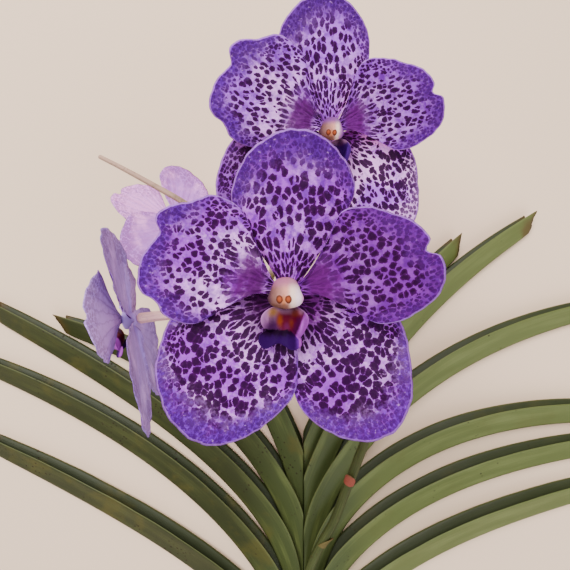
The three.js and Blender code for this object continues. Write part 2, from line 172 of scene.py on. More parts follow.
def smoothPath(points, count):
    # centripetal Catmull-Rom curve through the points, sampled at equal steps of length
    knots = np.array(points, float)
    knots = np.vstack([2 * knots[0] - knots[1], knots, 2 * knots[-1] - knots[-2]])
    fine = []
    for k in range(1, len(knots) - 2):
        p0, p1, p2, p3 = knots[k - 1:k + 3]
        d0, d1, d2 = (math.sqrt(np.linalg.norm(b - a)) for a, b in ((p0, p1), (p1, p2), (p2, p3)))
        m1 = ((p1 - p0) / d0 - (p2 - p0) / (d0 + d1) + (p2 - p1) / d1) * d1
        m2 = ((p2 - p1) / d1 - (p3 - p1) / (d1 + d2) + (p3 - p2) / d2) * d1
        u = np.linspace(0, 1, 32, endpoint=False)[:, None]
        fine.append(
            (2 * u**3 - 3 * u**2 + 1) * p1 + (u**3 - 2 * u**2 + u) * m1
            + (3 * u**2 - 2 * u**3) * p2 + (u**3 - u**2) * m2
        )
    return resample(np.vstack([*fine, knots[-2][None, :]]), count)


def resample(line, count):
    gone = np.concatenate([[0], np.cumsum(np.linalg.norm(np.diff(line, axis=0), axis=1))])
    wanted = np.linspace(0, gone[-1], count)
    return np.stack([np.interp(wanted, gone, line[:, k]) for k in range(line.shape[1])], axis=1)


def circle(count):
    return np.linspace(0, 2 * np.pi, count, endpoint=False)


def wave(turns):
    return np.sin(2 * np.pi * turns)


def bell(away, width):
    return np.exp(-((away / width) ** 2))


def unit(vector):
    return vector / np.linalg.norm(vector)


def spread(*parts):
    # one row of three numbers for each point of a grid
    return np.stack(np.broadcast_arrays(*parts), -1).reshape(-1, 3)


def moved(points, matrix):
    m = np.array(matrix)
    return np.asarray(points) @ m[:3, :3].T + m[:3, 3]


def gridFaces(rows, columns, offset=0, wrap=False, flip=False):
    # quads over a grid of points stored row by row
    faces = []
    for k in range(rows - 1):
        for j in range(columns if wrap else columns - 1):
            a, b = (offset + k * columns + i % columns for i in (j, j + 1))
            face = (a, b, b + columns, a + columns)
            faces.append(face[::-1] if flip else face)
    return faces


def sheetFaces(rows, columns):
    # the front and, stored after it, the back of a thin sheet
    return gridFaces(rows, columns) + gridFaces(rows, columns, rows * columns, flip=True)


def closedRings(points, columns):
    # the points of stacked rings with the middles of both end rings, and the faces round them
    end = len(points)
    last = end - columns
    faces = gridFaces(end // columns, columns, wrap=True)
    faces += [(end, (j + 1) % columns, j) for j in range(columns)]
    faces += [(end + 1, last + j, last + (j + 1) % columns) for j in range(columns)]
    return np.vstack([points, points[:columns].mean(0), points[last:].mean(0)]), faces


def makeMesh(name, points, faces, attributes):
    mesh = bpy.data.meshes.new(name)
    mesh.from_pydata(np.asarray(points, float).tolist(), [], faces)
    for key, values in attributes.items():
        layer = mesh.attributes.new(key, "FLOAT_VECTOR", "POINT")
        layer.data.foreach_set("vector", np.asarray(values, np.float32).ravel())
    return tidy(mesh)


def tidy(mesh):
    # weld the seams, drop what has no area and turn the faces outwards
    work = bmesh.new()
    work.from_mesh(mesh)
    bmesh.ops.remove_doubles(work, verts=work.verts, dist=weld)
    bmesh.ops.dissolve_degenerate(work, edges=work.edges, dist=1e-7)
    bmesh.ops.recalc_face_normals(work, faces=work.faces)
    for face in work.faces:
        face.smooth = True
    work.to_mesh(mesh)
    work.free()
    mesh.update()
    return mesh


def roundBody(name, rings, matrix, extra=None):
    # a closed body from stacked closed rings of points in the bloom's own millimetres
    rings = np.asarray(rings, float)
    points, faces = closedRings(rings.reshape(-1, 3), rings.shape[1])
    attributes = {key: np.tile(value, (len(points), 1)) for key, value in (extra or {}).items()}
    return makeMesh(name, moved(points, matrix), faces, {"own": points, **attributes})


def joinMeshes(name, meshes):
    # one mesh out of several, keeping their point attributes
    work = bmesh.new()
    for mesh in meshes:
        work.from_mesh(mesh)
    joined = bpy.data.meshes.new(name)
    work.to_mesh(joined)
    work.free()
    for mesh in meshes:
        bpy.data.meshes.remove(mesh)
    return joined


def addObject(name, data):
    item = bpy.data.objects.new(name, data)
    bpy.context.scene.collection.objects.link(item)
    return item


def putPiece(name, mesh, material, slotName, *nodes):
    mesh.materials.clear()
    mesh.materials.append(material)
    piece = addObject(name, mesh)
    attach(piece, "root")
    if nodes:
        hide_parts(*nodes)


# Geometry node trees, which grow a mesh along a path

def newTree(name, numbers):
    # a tree that takes a path, a number for each name and a material; returns a wire for each
    tree = bpy.data.node_groups.new(name, "GeometryNodeTree")
    kinds = {"Geometry": "Geometry", **dict.fromkeys(numbers, "Float"), "material": "Material"}
    for key, kind in kinds.items():
        tree.interface.new_socket(name=key, in_out="INPUT", socket_type="NodeSocket" + kind)
    tree.interface.new_socket(name="Geometry", in_out="OUTPUT", socket_type="NodeSocketGeometry")
    b = Board(tree)
    given = b.add("NodeGroupInput")
    return b, *(given.out(key) for key in kinds)


def unitGrid(b, columns, rows):
    # u runs round the section and v up the path
    inputs = {"Size X": 1.0, "Size Y": 1.0, "Vertices X": columns, "Vertices Y": rows}
    grid = b.add("GeometryNodeMeshGrid", inputs)
    x, y, _ = b.split(b.add("GeometryNodeInputPosition"))
    return grid, x + 0.5, y + 0.5


def onPath(b, path, share):
    curve = b.add("GeometryNodeMeshToCurve", {"Mesh": path})
    return b.add("GeometryNodeSampleCurve", {"Curves": curve, "Factor": share}, "Position", mode="FACTOR")


def endTree(b, grid, markName, marks, place, material):
    # stores the marks on the grid, moves its points into place and welds it
    inputs = {"Geometry": grid, "Name": markName, "Value": marks}
    geometry = b.add("GeometryNodeStoreNamedAttribute", inputs, data_type="FLOAT_VECTOR")
    steps = {
        "SetPosition": {"Position": place}, "MergeByDistance": {"Distance": weld}, "SetShadeSmooth": {},
        "SetMaterial": {"Material": material},
    }
    for kind, inputs in steps.items():
        geometry = b.add("GeometryNode" + kind, {"Geometry": geometry, **inputs})
    result = b.tree.nodes.new("NodeGroupOutput")
    b.tree.links.new(geometry.socket, result.inputs[0])
    return b.tree


def growAlong(name, line, tree, material, numbers):
    # runs a tree on a line in millimetres and returns the plain mesh that it makes
    path = bpy.data.meshes.new(name + "Path")
    path.from_pydata((np.asarray(line) * mm).tolist(), [(k, k + 1) for k in range(len(line) - 1)], [])
    carrier = addObject(name + "Path", path)
    modifier = carrier.modifiers.new("grow", "NODES")
    modifier.node_group = tree
    sockets = {s.name: s.identifier for s in tree.interface.items_tree if s.in_out == "INPUT"}
    for key, value in {**numbers, "material": material}.items():
        modifier[sockets[key]] = value
    bpy.context.view_layer.update()
    graph = bpy.context.evaluated_depsgraph_get()
    mesh = bpy.data.meshes.new_from_object(
        carrier.evaluated_get(graph), preserve_all_data_layers=True, depsgraph=graph,
    )
    mesh.name = name
    bpy.data.objects.remove(carrier)
    bpy.data.meshes.remove(path)
    return tidy(mesh)


# Camera, light and floor

camera = {"place": (-0.012, 0.250, 0.320), "sensor": 36, "focal": 470, "picture": 570, "nearest": 0.005}
light = {
    "key": {"place": (-0.3, 0.75, 1.0), "size": 0.9, "power": 21.0, "tint": (1.0, 0.97, 0.93)},
    "fill": {"place": (0.6, -0.4, 0.9), "size": 1.2, "power": 8.5, "tint": (0.98, 0.97, 1.0)},
    "aim": (0, 0.15, 0.08), "sky": 0.6, "skyTint": (1.0, 0.99, 0.97, 1),
}
ground = {"reach": 3.0, "level": -0.0004, "tint": "f6d8bc", "roughness": 0.8}


def lightStage():
    eye = bpy.data.cameras.new("camera")
    eye.lens = camera["sensor"] * camera["focal"] / camera["picture"]
    eye.sensor_width = camera["sensor"]
    eye.clip_start = camera["nearest"]
    seat = addObject("camera", eye)
    seat.location = camera["place"]
    bpy.context.scene.camera = seat
    for name in ("key", "fill"):
        look = light[name]
        lamp = bpy.data.lights.new(name, "AREA")
        lamp.shape = "DISK"
        lamp.size = look["size"]
        lamp.energy = look["power"]
        lamp.color = look["tint"]
        holder = addObject(name, lamp)
        holder.location = look["place"]
        aim = Vector(light["aim"]) - Vector(look["place"])
        holder.rotation_euler = aim.to_track_quat("-Z", "Y").to_euler()
    world = bpy.data.worlds.new("studio")
    world.use_nodes = True
    backdrop = world.node_tree.nodes["Background"]
    backdrop.inputs["Color"].default_value = light["skyTint"]
    backdrop.inputs["Strength"].default_value = light["sky"]
    bpy.context.scene.world = world
    reach, level = ground["reach"], ground["level"]
    mesh = bpy.data.meshes.new("floor")
    corners = [(x * reach, y * reach, level) for x, y in ((-1, -1), (1, -1), (1, 1), (-1, 1))]
    mesh.from_pydata(corners, [], [(0, 1, 2, 3)])
    mesh.materials.append(newMaterial("paleFloor").wear(colour(ground["tint"]), ground["roughness"]))
    floor = addObject("floor", mesh)


lightStage()
print("stage: camera, lights and floor")


# Tepals: blades whose spokes fan out from a foot to the points of their outline

tepal = {"thickness": 0.8, "rings": 44, "spokes": 110}
# level and rise lift the blade, cup bends it across, midrib folds it, waves run along its margin
sepalForm = {"cup": -8, "midrib": 0.8, "wave": 0.9, "waves": 2, "petal": 0.0, "lower": 1.0}
petalForm = {
    "level": 1.4, "rise": 1.2, "cup": -4, "midrib": 0.7, "wave": 1.3, "waves": 3, "petal": 1.0, "lower": 0.0,
}
tepalShapes = {
    "dorsalSepal": {
        **sepalForm, "foot": (1, 1), "tip": (3, 59),
        "outline": [
            (5, 4.2), (7.2, 7.6), (12.4, 15.5), (20.6, 29.5), (23.8, 39.5), (20, 50.5), (12.4, 57.4),
            (3, 59.3), (-8, 55.2), (-15.5, 47.3), (-19.3, 36), (-16.5, 27.5), (-10.7, 18), (-4, 8),
            (-2.6, 4.6),
        ],
        "level": -1.1, "rise": -3.2, "cup": -9, "phase": 0.1, "lower": 0.0,
    },
    "leftSepal": {
        **sepalForm, "foot": (-0.6, -1), "tip": (-27, -51),
        "outline": [
            (-4.2, 0.4), (-10, 1.6), (-24, 0.6), (-38.4, -6), (-43.4, -15.4), (-45, -27), (-41, -40),
            (-33, -48.6), (-24, -51.4), (-12, -47.8), (-1.6, -40), (3.2, -33.6), (4.4, -21), (2.4, -11),
            (0.6, -5.4),
        ],
        "level": -1.2, "rise": -1.4, "phase": 0.3,
    },
    "rightSepal": {
        **sepalForm, "foot": (1.4, -1), "tip": (30, -49.5),
        "outline": [
            (0.6, -5.6), (1.6, -11), (2.8, -19), (2.9, -32), (7.2, -40.6), (18, -47.6), (28.4, -49.8),
            (38, -46.2), (43.2, -38), (43.6, -24), (38.8, -7), (26, 0), (12, 1.6), (5, 0.4),
        ],
        "level": -2.6, "rise": -2.2, "phase": 0.7,
    },
    "leftPetal": {
        **petalForm, "foot": (-1, 2.6), "tip": (-48, 14),
        "outline": [
            (-5, 6.4), (-7.9, 8.8), (-8, 11), (-7.5, 13), (-9.8, 18), (-13.6, 28), (-18.5, 32.8), (-26, 34.8),
            (-32, 32.3), (-40.5, 30.4), (-44.2, 27.2), (-42.9, 21.8), (-48, 15.6), (-50.4, 6.4), (-48.3, 1.2),
            (-44.2, -1.2), (-40.5, -6.6), (-31.4, -9.3), (-21, -4), (-13.8, 0.2), (-7.4, 1.2), (-4.4, 0.6),
        ],
        "phase": 0.2,
    },
    "rightPetal": {
        **petalForm, "foot": (1.6, 2.6), "tip": (51, 12),
        "outline": [
            (4.6, 0.4), (8.2, 0.6), (13.8, 0.2), (20, -2.8), (31.7, -9), (40, -7.9), (50, -2.1), (54, 2.6),
            (54.8, 8.8), (52.8, 13.8), (48, 15.7), (48.9, 19.6), (45.3, 24.4), (38, 28.4), (28, 31),
            (19.6, 29.2), (15.2, 20.4), (11.4, 14), (10.5, 11.2), (8.4, 7.6), (5.4, 6),
        ],
        "phase": 0.6,
    },
}
# a hub closes the middle behind the tepals; its profile is in heights and radii
hub = {
    "middle": 0.4,
    "profile": [(-5.0, 2.6), (-4.0, 3.1), (-2.6, 3.9), (-1.2, 4.5), (0.4, 4.7), (1.4, 4.2), (1.9, 3.0)],
}
# from: where its stalk leaves the spike; turns (degrees), sizes and painted shades and tones (below 0: paler)
# by tepal;
# bulge: the x and y of a place on the outline, how far it is pushed right and up, and the push's reach
plainBloom = {
    "roll": 0, "size": 1, "detail": 1.0, "turns": {}, "sizes": {}, "paintedShadesAndTones": {}, "bulge": {}, "lipTurn": 0,
    "columnSize": 1,
}
# paintedShadesAndTones above 0 darken a tepal towards plum: painted shade on a petal turned from the light,
# and on some tepals their own deeper tone
blooms = {
    "a": {
        **plainBloom, "centre": (-12, 246, 158), "facing": (0, 0, 1), "from": 0.63,
        "sizes": {"leftSepal": 1.02, "rightSepal": 1.04}, "paintedShadesAndTones": {"rightPetal": 1.0, "rightSepal": 0.12},
        "bulge": {"dorsalSepal": (22, 36, 1.6, 0, 12)},
    },
    "b": {
        **plainBloom, "centre": (6.8, 316.2, 115), "facing": (0.06, -0.24, 0.97), "roll": -2, "from": 0.73,
        "turns": {
            "dorsalSepal": 10.5, "leftPetal": -3.5, "rightPetal": 5.5, "leftSepal": -4, "rightSepal": 4,
        },
        "sizes": {"dorsalSepal": 0.945, "leftPetal": 1.03, "rightPetal": 0.93, "leftSepal": 1.04},
        "paintedShadesAndTones": {"leftSepal": 0.8, "rightSepal": -1.0, "dorsalSepal": -0.5, "rightPetal": 0.5},
        "bulge": {
            "rightPetal": (16, 22, -3.6, 2.2, 12), "dorsalSepal": (19, 26, 2.4, -0.6, 12),
            "leftPetal": (-12, 0, 0.5, -2.6, 6),
        },
        "lipTurn": 13, "columnSize": 0.9,
    },
    "c": {
        **plainBloom, "centre": (-73.6, 284.2, 43.7), "facing": (-0.52, -0.46, -0.72), "roll": 17,
        "size": 0.74, "from": 0.79, "detail": 0.7,
    },
    "d": {
        **plainBloom, "centre": (-87, 233, 97), "facing": (-0.96, -0.18, 0.1), "roll": -11, "size": 0.93,
        "from": 0.68, "turns": {"dorsalSepal": -24}, "sizes": {"dorsalSepal": 0.9}, "detail": 0.7,
    },
}


def bloomMatrix(bloom):
    # from a bloom's own millimetres, column foot at the origin and face to +Z, to the row frame
    forward = Vector(bloom["facing"]).normalized()
    up = (Vector((0, 1, 0)) - forward * forward.y).normalized()
    right = up.cross(forward)
    turn = Matrix((right, up, forward)).transposed().to_4x4()
    place = Matrix.Translation(Vector(bloom["centre"]) * mm)
    roll = Matrix.Rotation(math.radians(bloom["roll"]), 4, "Z")
    return place @ turn @ roll @ Matrix.Scale(bloom["size"] * mm, 4)


def bulged(shape, bulge):
    # the shape with its outline pushed out around one place
    if not bulge:
        return shape
    outline = np.array(shape["outline"], float)
    x, y, right, up, reach = bulge
    share = np.exp(-(((outline[:, 0] - x) ** 2 + (outline[:, 1] - y) ** 2) / reach**2))
    return {**shape, "outline": outline + share[:, None] * np.array([right, up])}


def bladeMesh(name, shape, matrix, thickness, grid, seed, turn=0.0, size=1.0, shade=0.0, height=None):
    rings, spokes = grid
    foot, tip = np.array(shape["foot"], float), np.array(shape["tip"], float)
    length = np.linalg.norm(tip - foot)
    axis = (tip - foot) / length
    side = np.array([-axis[1], axis[0]])
    margin = smoothPath(np.array(shape["outline"], float) - foot, spokes + 1)
    turns = np.linspace(0, 1, spokes + 1)
    draw = np.random.default_rng(seed)
    frill = sum(draw.uniform(0.15, 0.3) * wave(n * turns + draw.uniform()) for n in (9, 14, 23, 31))
    margin = margin * (1 + frill[:, None] / np.maximum(20, np.linalg.norm(margin, axis=1))[:, None] * 0.35)
    reach = np.linspace(0, 1, rings + 1)[:, None] ** 0.85
    along, across = reach * (margin @ axis), reach**1.5 * (margin @ side)
    a, c = along / length, across / length
    if height is None:
        fold = shape["midrib"] * bell(c, 0.07) * np.sin(np.pi * np.clip(a, 0, 1))
        ripple = shape["wave"] * wave(shape["waves"] * turns + shape["phase"])
        z = shape["level"] + shape["rise"] * reach + shape["cup"] * c**2 - fold
        z = z + ripple * reach**3
        puff = 0.10 * np.cos(np.arctan2(across, along + 1e-6) * 34 + seed) * np.sin(np.pi * reach) ** 0.5
        z = z + puff + sum(0.22 * wave(n * turns + draw.uniform()) for n in (7, 11, 17)) * reach**6
    else:
        z = height(a, c, reach, turns)
    close = np.sqrt(np.clip(1 - reach**14, 0, 1)) * np.sqrt(np.clip(1 - np.abs(2 * turns - 1) ** 40, 0, 1))
    half = thickness / 2 * close
    flatX, flatY = (foot[k] + axis[k] * along + side[k] * across for k in (0, 1))
    spin = math.radians(turn)
    x = size * (flatX * math.cos(spin) - flatY * math.sin(spin))
    y = size * (flatX * math.sin(spin) + flatY * math.cos(spin))
    own = np.vstack([spread(x, y, z + half), spread(x, y, z - half)])
    flat = spread(across, along, 10 + 3.7 * (seed % 17))
    front = np.where(close > 0.3, 1.0, 0.5)
    # kind: petal, lower sepal, and the tepal's painted shade
    kind = [shape.get("petal", 0.0), shape.get("lower", 0.0), shade]
    return makeMesh(name, moved(own, matrix), sheetFaces(rings + 1, spokes + 1), {
        "flat": np.vstack([flat, flat]), "own": own, "kind": np.tile(kind, (len(own), 1)),
        "blade": np.vstack([spread(turns, reach, front), spread(turns, reach, 1 - front)]),
    })


def hubMesh(name, matrix):
    # the receptacle behind the tepals, where the stalk runs into the bloom
    rings = [
        [(hub["middle"] + r * math.cos(t), hub["middle"] + r * math.sin(t), z) for t in circle(40)]
        for z, r in hub["profile"]
    ]
    marks = {"flat": [0.5, 4.0, 5.0], "blade": [0.5, 0.08, 0.0], "kind": [0.0, 0.0, 0.0]}
    return roundBody(name, rings, matrix, marks)


tepalLook = {
    "ground": "a03ecc", "pale": "efaefc", "wash": "5e1694", "spot": "36043e", "heart": "220026",
    "plum": "5c1468", "edge": "460c74", "edgeFleck": "7222c4", "edgeSpot": "2e0448", "rim": "c078f4",
    "patch": "52085c", "throat": "38063c", "throatRight": "5c1268",
    "back": "fcacff", "backVein": "b47cdc", "backShade": "b878dc",
    "spotSize": 2.9, "edgeSize": 1.5, "footStreak": 0.2, "streak": 0.112, "cover": 0.015, "long": 1.4,
}
fineLook = {**tepalLook, "spotSize": 2.6, "streak": 0.1, "ground": "ae5ee4", "cover": 0.0, "long": 1.8}
# a painted-shade copy of the back colours, for the bloom that lies in shadow
shadedBack = {**tepalLook, "back": "cca4fa", "backShade": "9c80d4", "backVein": "8668bc"}


def tepalMaterial(name, look):
    b = newMaterial(name, look)
    flat = b.attribute("flat")
    across, along, seed = b.split(flat)
    _, reach, front = b.split("blade")
    # shade, the third number of kind: painted shade for a tepal turned from the light, and on some tepals
    # their own deeper tone
    petal, lower, shade = b.split("kind")
    sideways, _, _ = b.split("own")
    onRight = b.rise(sideways, 0.0, 4.0)
    far = (across * across + along * along + 0.01) ** 0.5
    angle = b.math("ARCTAN2", across, along + 0.001)
    depth = b.math("LOGARITHM", far, 2.718)
    wobble = b.noise(flat, 0.22, 4.0, 0.62)
    shift = b.vector("SUBTRACT", wobble.out("Color"), (0.5, 0.5, 0.5))
    sway = wobble - 0.5
    blot = b.noise(flat, 0.38)
    fine = b.noise(flat, 1.1, 3.0, 0.6)
    broad = b.noise(flat, 0.07)
    ragged = (blot - 0.5) * 0.3 + (fine - 0.5) * 0.26

    def blots(x, y, grow, apart, jitter):
        # dark cells: rounded up to grow from their middles, and kept apart where apart is above 0
        push = b.vector("MULTIPLY", shift, (jitter, jitter, 0.0))
        place = b.vector("ADD", b.combine(x + seed, y + seed), push)
        inputs = {"Vector": place, "Scale": 1.0, "Randomness": 0.95}
        cell, wall = (
            b.add("ShaderNodeTexVoronoi", inputs, voronoi_dimensions="2D", feature=feature)
            for feature in ("F1", "DISTANCE_TO_EDGE")
        )
        chance, merge, _ = b.split(cell.out("Color"))
        body = grow + look["cover"] + (chance - 0.5) * 0.26 - cell
        gap = wall * 1.4 - apart + (merge - 0.5) * 0.4
        return b.math("SMOOTH_MIN", body, gap, 0.16) - ragged

    def among(inner, outer, share):
        # one set of spots dwindles while the next one grows in between them
        waning, waxing = b.rise(share, 0.3, 1.0) * 0.7, b.fall(share, 0.0, 0.7) * 0.7
        return b.math("MAXIMUM", inner - waning, outer - waxing)

    # two sizes of streaks that fan out of the foot, rounder spots further out, fine ones at the margin
    footPitch, pitch, edgeSize = look["footStreak"], look["streak"], look["edgeSize"]
    low = lower * (1.0 - onRight * 0.5)
    crowd = b.rise(reach + (broad - 0.5) * 0.5, 0.4, 0.86) * lower
    wide = look["spotSize"] * (1.0 - lower * 0.08 - petal * 0.12)
    tall = wide * (look["long"] - petal * 0.25 - lower * 0.25)
    footSpot = blots(angle / footPitch, depth / (footPitch * 3.4), 0.5 + low * 0.14, 0.06 - low * 0.1, 0.5)
    nearSpot = blots(angle / pitch, depth / (pitch * 2.6), 0.48 + low * 0.08, 0.06 - low * 0.06, 0.7)
    grow, apart = 0.46 - petal * 0.04 + shade * 0.05 + crowd * 0.12, -0.02 - lower * 0.02 - crowd * 0.1
    farSpot = blots(across / wide, along / tall, grow, apart, 1.0)
    grow, apart = 0.48 + lower * 0.08, 0.0 - lower * 0.05
    edgeSpot = blots(across / edgeSize, along / (edgeSize * 1.3), grow, apart, 1.0)
    outFoot = b.rise(far + sway * 6.0, 7.5, 12.5)
    outNear = b.rise(far + sway * 9.0, 18.0, 27.0)
    outFar = b.rise(reach + sway * 0.2, 0.8, 0.94) * b.rise(far, 20.0, 30.0)
    field = among(among(footSpot, nearSpot, outFoot), among(farSpot, edgeSpot, outFar), outNear)
    spots = b.rise(field, -0.03, 0.04)
    # ground: lilac, paler on the lower sepals and in the middle of the petals, with violet washes
    veins = (angle * 46.0 + sway * 7.0).cos() * 0.5 + 0.5
    middle = petal * (b.rise(reach, 0.2, 0.45) * b.fall(reach, 0.65, 0.85))
    paleness = b.rise(broad + (fine - 0.5) * 0.5, 0.36, 0.66) * (0.3 + lower * 0.5 + middle * 0.5)
    washed = b.rise(b.noise(flat, 0.24, 4.0, 0.65), 0.42, 0.64) * (0.72 - lower * 0.3 - middle * 0.2)
    # margin: violet with fine flecks that point outwards, the pale ground breaking through as specks
    fleck = b.noise(b.combine(angle * 40.0 + seed, far * 0.5), 1.0, 3.0, 0.65)
    flecks = b.rise(fleck + (fine - 0.5) * 0.3, 0.46, 0.6)
    specks = b.rise(b.noise(b.combine(angle * 34.0, far * 0.8, seed), 1.0, 3.0, 0.7), 0.6, 0.68)
    aside = b.rise(abs(angle) - petal * 0.12, 0.16, 0.72)
    start = 0.76 + petal * 0.04 + lower * 0.05 + aside * 0.13
    ending = reach + (fine - 0.5) * 0.16 + (blot - 0.5) * 0.2 + (broad - 0.5) * 0.26
    margin = b.rise(ending - start, -0.04, 0.17 - lower * 0.07) * b.rise(far, 14.0, 26.0)
    margin = margin * (1.0 - abs(shade) * lower * 0.75)
    edge = b.paint(
        "edge", (flecks * (0.4 + lower * 0.3 + petal * 0.15), "edgeFleck"),
        ((1.0 - lower) * (1.0 - petal * 0.6) * 0.4, "edgeSpot"), (specks * (0.22 + lower * 0.12), "pale"),
    )
    # a dark patch near the foot of each petal, and a dark throat round the column
    patch = petal * b.rise(far, 5.0, 8.0) * b.fall(far + (blot - 0.5) * 12.0, 13.0, 20.0)
    patch = patch * b.fall(abs(angle) + (fine - 0.5) * 0.4, 0.4, 0.8)
    throat = b.fall(far + (fine - 0.5) * 6.0, 8.0, 22.0) * (0.2 + lower * (0.7 + veins * 0.12))
    shown = spots * (1.0 - margin * (0.38 + lower * 0.14)) * (0.97 - patch * 0.65)
    rim = b.rise(reach + (fine - 0.5) * 0.008, 0.982, 0.993)
    # where shade is above 0 the ground gets more wash, less paleness and a plum cast: painted shade, and on
    # some tepals their own deeper tone
    face = b.paint(
        "ground", (paleness * (1.0 - shade * 0.6), "pale"),
        (washed + shade * 0.3 + veins * 0.16, "wash"), (margin * 0.94, edge), (shade * 0.45, "plum"),
        (patch * 0.92, "patch"),
        (throat, b.mix(onRight, "throat", "throatRight")),
        (shown, b.paint("spot", (b.rise(field, 0.05, 0.3), "heart"), (margin * 0.85, "edgeSpot"))),
        (rim * 0.75, "rim"),
    )
    # the back is paler, with patches of painted shade, mostly on the sepals, faint veins and a few shadows of
    # the spots
    vein = b.rise((angle * 40.0 + sway * 5.0).cos(), 0.75, 1.0)
    rear = b.paint(
        "back", (b.rise(broad + (1.0 - petal) * 0.3, 0.55, 0.85) * 0.8, "backShade"),
        (vein * 0.35, "backVein"), (b.rise(blot, 0.5, 0.7) * 0.2, "backVein"),
        (spots * b.rise(reach + (broad - 0.5) * 0.6, 0.6, 0.95) * 0.36, "spot"),
    )
    relief = veins * 0.5 + fine * 0.5 + blot * 0.8 + spots * 0.1
    skin = b.mix(b.rise(front, 0.35, 0.65), rear, face)
    return b.wear(skin, 0.55 + fine * 0.12, shine=0.04, relief=relief, strength=0.5, depth=0.0006)


# Column: the cream head with two pollen masses

columnShape = {
    "centre": (0.2, 1.6, 9.0), "radii": (6.0, 5.0, 4.6), "foot": 2.4, "beak": 0.1, "groove": 0.03,
    "neck": 0.43, "dots": ((-1.75, -0.55), (1.1, -0.55)), "dotRadii": (1.1, 1.4), "dotHeight": 0.28,
}
# tonesWithPaintedLight: painted shade on the left of the head, its cream, and a painted highlight towards the
# right before the pink edge
columnLook = {
    "tonesWithPaintedLight": [
        (-5.4, "4c2e3a"), (-3.4, "7b5450"), (-1.7, "a06c66"), (0.4, "d48e80"), (2.6, "fcd8cc"),
        (4.6, "ffe0f4"), (6.4, "e890d8"),
    ],
    "top": "9c5880", "ridge": "c0703f", "beak": "6a4438", "under": "6a2c58",
    "dot": "4e2418", "dotHeart": "a04c2c",
}
duskColumn = {
    **columnLook, "tonesWithPaintedLight": columnLook["tonesWithPaintedLight"][:5] + [(4.2, "b070b4"), (5.6, "6a3088")], "top": "6a3088",
}


def columnMesh(name, matrix):
    centre, radii = np.array(columnShape["centre"]), np.array(columnShape["radii"])
    angles = circle(64)
    t = np.linspace(0, np.pi, 46)[:, None]
    x, y = np.sin(t) * np.cos(angles), np.sin(t) * np.sin(angles)
    z = np.broadcast_to(-np.cos(t), x.shape)
    # a beak under the pollen masses and a soft groove between them
    beak = np.exp(-((x / 0.3) ** 2 + ((y + 0.85) / 0.35) ** 2)) * columnShape["beak"]
    groove = bell(x, 0.07) * np.clip(z, 0, 1) * columnShape["groove"] * (y < 0.4)
    # a helmet: narrow shoulders above, square below
    shoulder = 1 - 0.2 * np.clip((y + 0.35) / 0.5, 0, 1) * (1 - 0.7 * np.clip((y - 0.55) / 0.4, 0, 1))
    c, s = np.abs(np.cos(angles)), np.abs(np.sin(angles))
    square = np.where(np.sin(angles) < 0, (c**3.2 + s**3.2) ** (-1 / 3.2), 1)
    swell = (1 + beak - groove) * (1 + (square - 1) * np.sin(t) ** 2)
    x, y, z = np.moveaxis(np.stack([x * shoulder, y, z], -1) * swell[..., None] * radii + centre, -1, 0)
    middle = centre[2]
    below = np.clip((middle - z) / radii[2], 0, 1) ** 2
    z = np.where(z < middle, middle - (middle - z) * (1 + below * columnShape["neck"]), z)
    z = np.maximum(z, columnShape["foot"])
    for dotX, dotY in columnShape["dots"]:
        away = (x - dotX) ** 2 + ((y - dotY) / 1.1) ** 2
        z = z + np.where(z > middle, columnShape["dotHeight"] * bell(away, 1), 0)
    z = np.minimum(z, middle + radii[2] - 0.02)
    return roundBody(name, np.stack([x, y, z], -1), matrix)


def columnMaterial(name, look):
    b = newMaterial(name, look)
    own = b.attribute("own")
    x, y, z = b.split(own)
    speck = b.noise(own, 1.1, 3.0)
    facing = b.rise(z, 9.0, 10.5)
    soft = (speck - 0.5) * 2.0
    # painted light across the head: painted shade in brown on one side, then the cream, a nearly white
    # painted highlight, and pink on the other
    tonesWithPaintedLight = look["tonesWithPaintedLight"]
    layers = [
        (b.rise(x + soft * 0.5, place, onward), code) for (place, _), (onward, code) in zip(tonesWithPaintedLight, tonesWithPaintedLight[1:])
    ]
    ridge = b.fall(fromMiddle(x, y, -0.35, -1.0, 1.0, 2.2) + soft * 0.1, 0.4, 1.1)
    beak = b.fall(y + soft * 0.3, -2.6, -1.3) * b.fall(x, 0.4, 2.6)
    layers += [
        (b.rise(y + soft * 0.5, 2.2, 5.2) * 0.88, "top"), (ridge * 0.75 * facing, "ridge"),
        (beak * 0.8, "beak"), (b.fall(z, 5.0, 8.5) * 0.85, "under"),
    ]
    for dot in columnShape["dots"]:
        away = fromMiddle(x, y, *dot, *columnShape["dotRadii"])
        tint = b.mix(b.rise(away, 0.2, 0.95), "dotHeart", "dot")
        layers.append((b.fall(away + soft * 0.12, 0.85, 1.1) * facing, tint))
    skin = b.paint(tonesWithPaintedLight[0][1], *layers)
    return b.wear(skin, 0.5 + speck * 0.1, shine=0.1, relief=speck, strength=0.2, depth=0.0003)


# Lip: a trough with two raised side lobes, and the flat notched front lobe

lipShape = {
    "centre": (-0.1, -7.7), "radii": (8.0, 5.2), "floor": 3.2, "valley": 6.2, "lobe": 5.0, "notch": 1.6,
    "flap": 2.2, "keel": 0.9,
}
lipFront = {
    "foot": (0, -7.5), "tip": (-1.6, -19), "thickness": 1.3,
    "outline": [
        (-3, -9.6), (-6.4, -11.2), (-8.7, -13), (-8.8, -15.4), (-6.6, -17), (-2.1, -15.2), (2.5, -17.4),
        (5.4, -16.4), (5.3, -13.2), (3.4, -11), (2.4, -9.4),
    ],
}
lipLook = {
    "lobeHigh": "865a7c", "lobeLow": "461a4c", "pale": "aa48be", "edgeHighlight": "b878bc", "yellow": "946628",
    "orange": "70300a", "maroon": "4a061e", "rust": "5c200f", "plum": "3c023a", "rose": "5a1c4c",
    "front": "240040", "frontDark": "14001a", "frontLilac": "642494",
}
indigoLip = {
    **lipLook, "maroon": "1c0038", "rust": "2c0430", "orange": "3a0a28", "rose": "240040", "plum": "200040",
    "pale": "4a1a80",
}


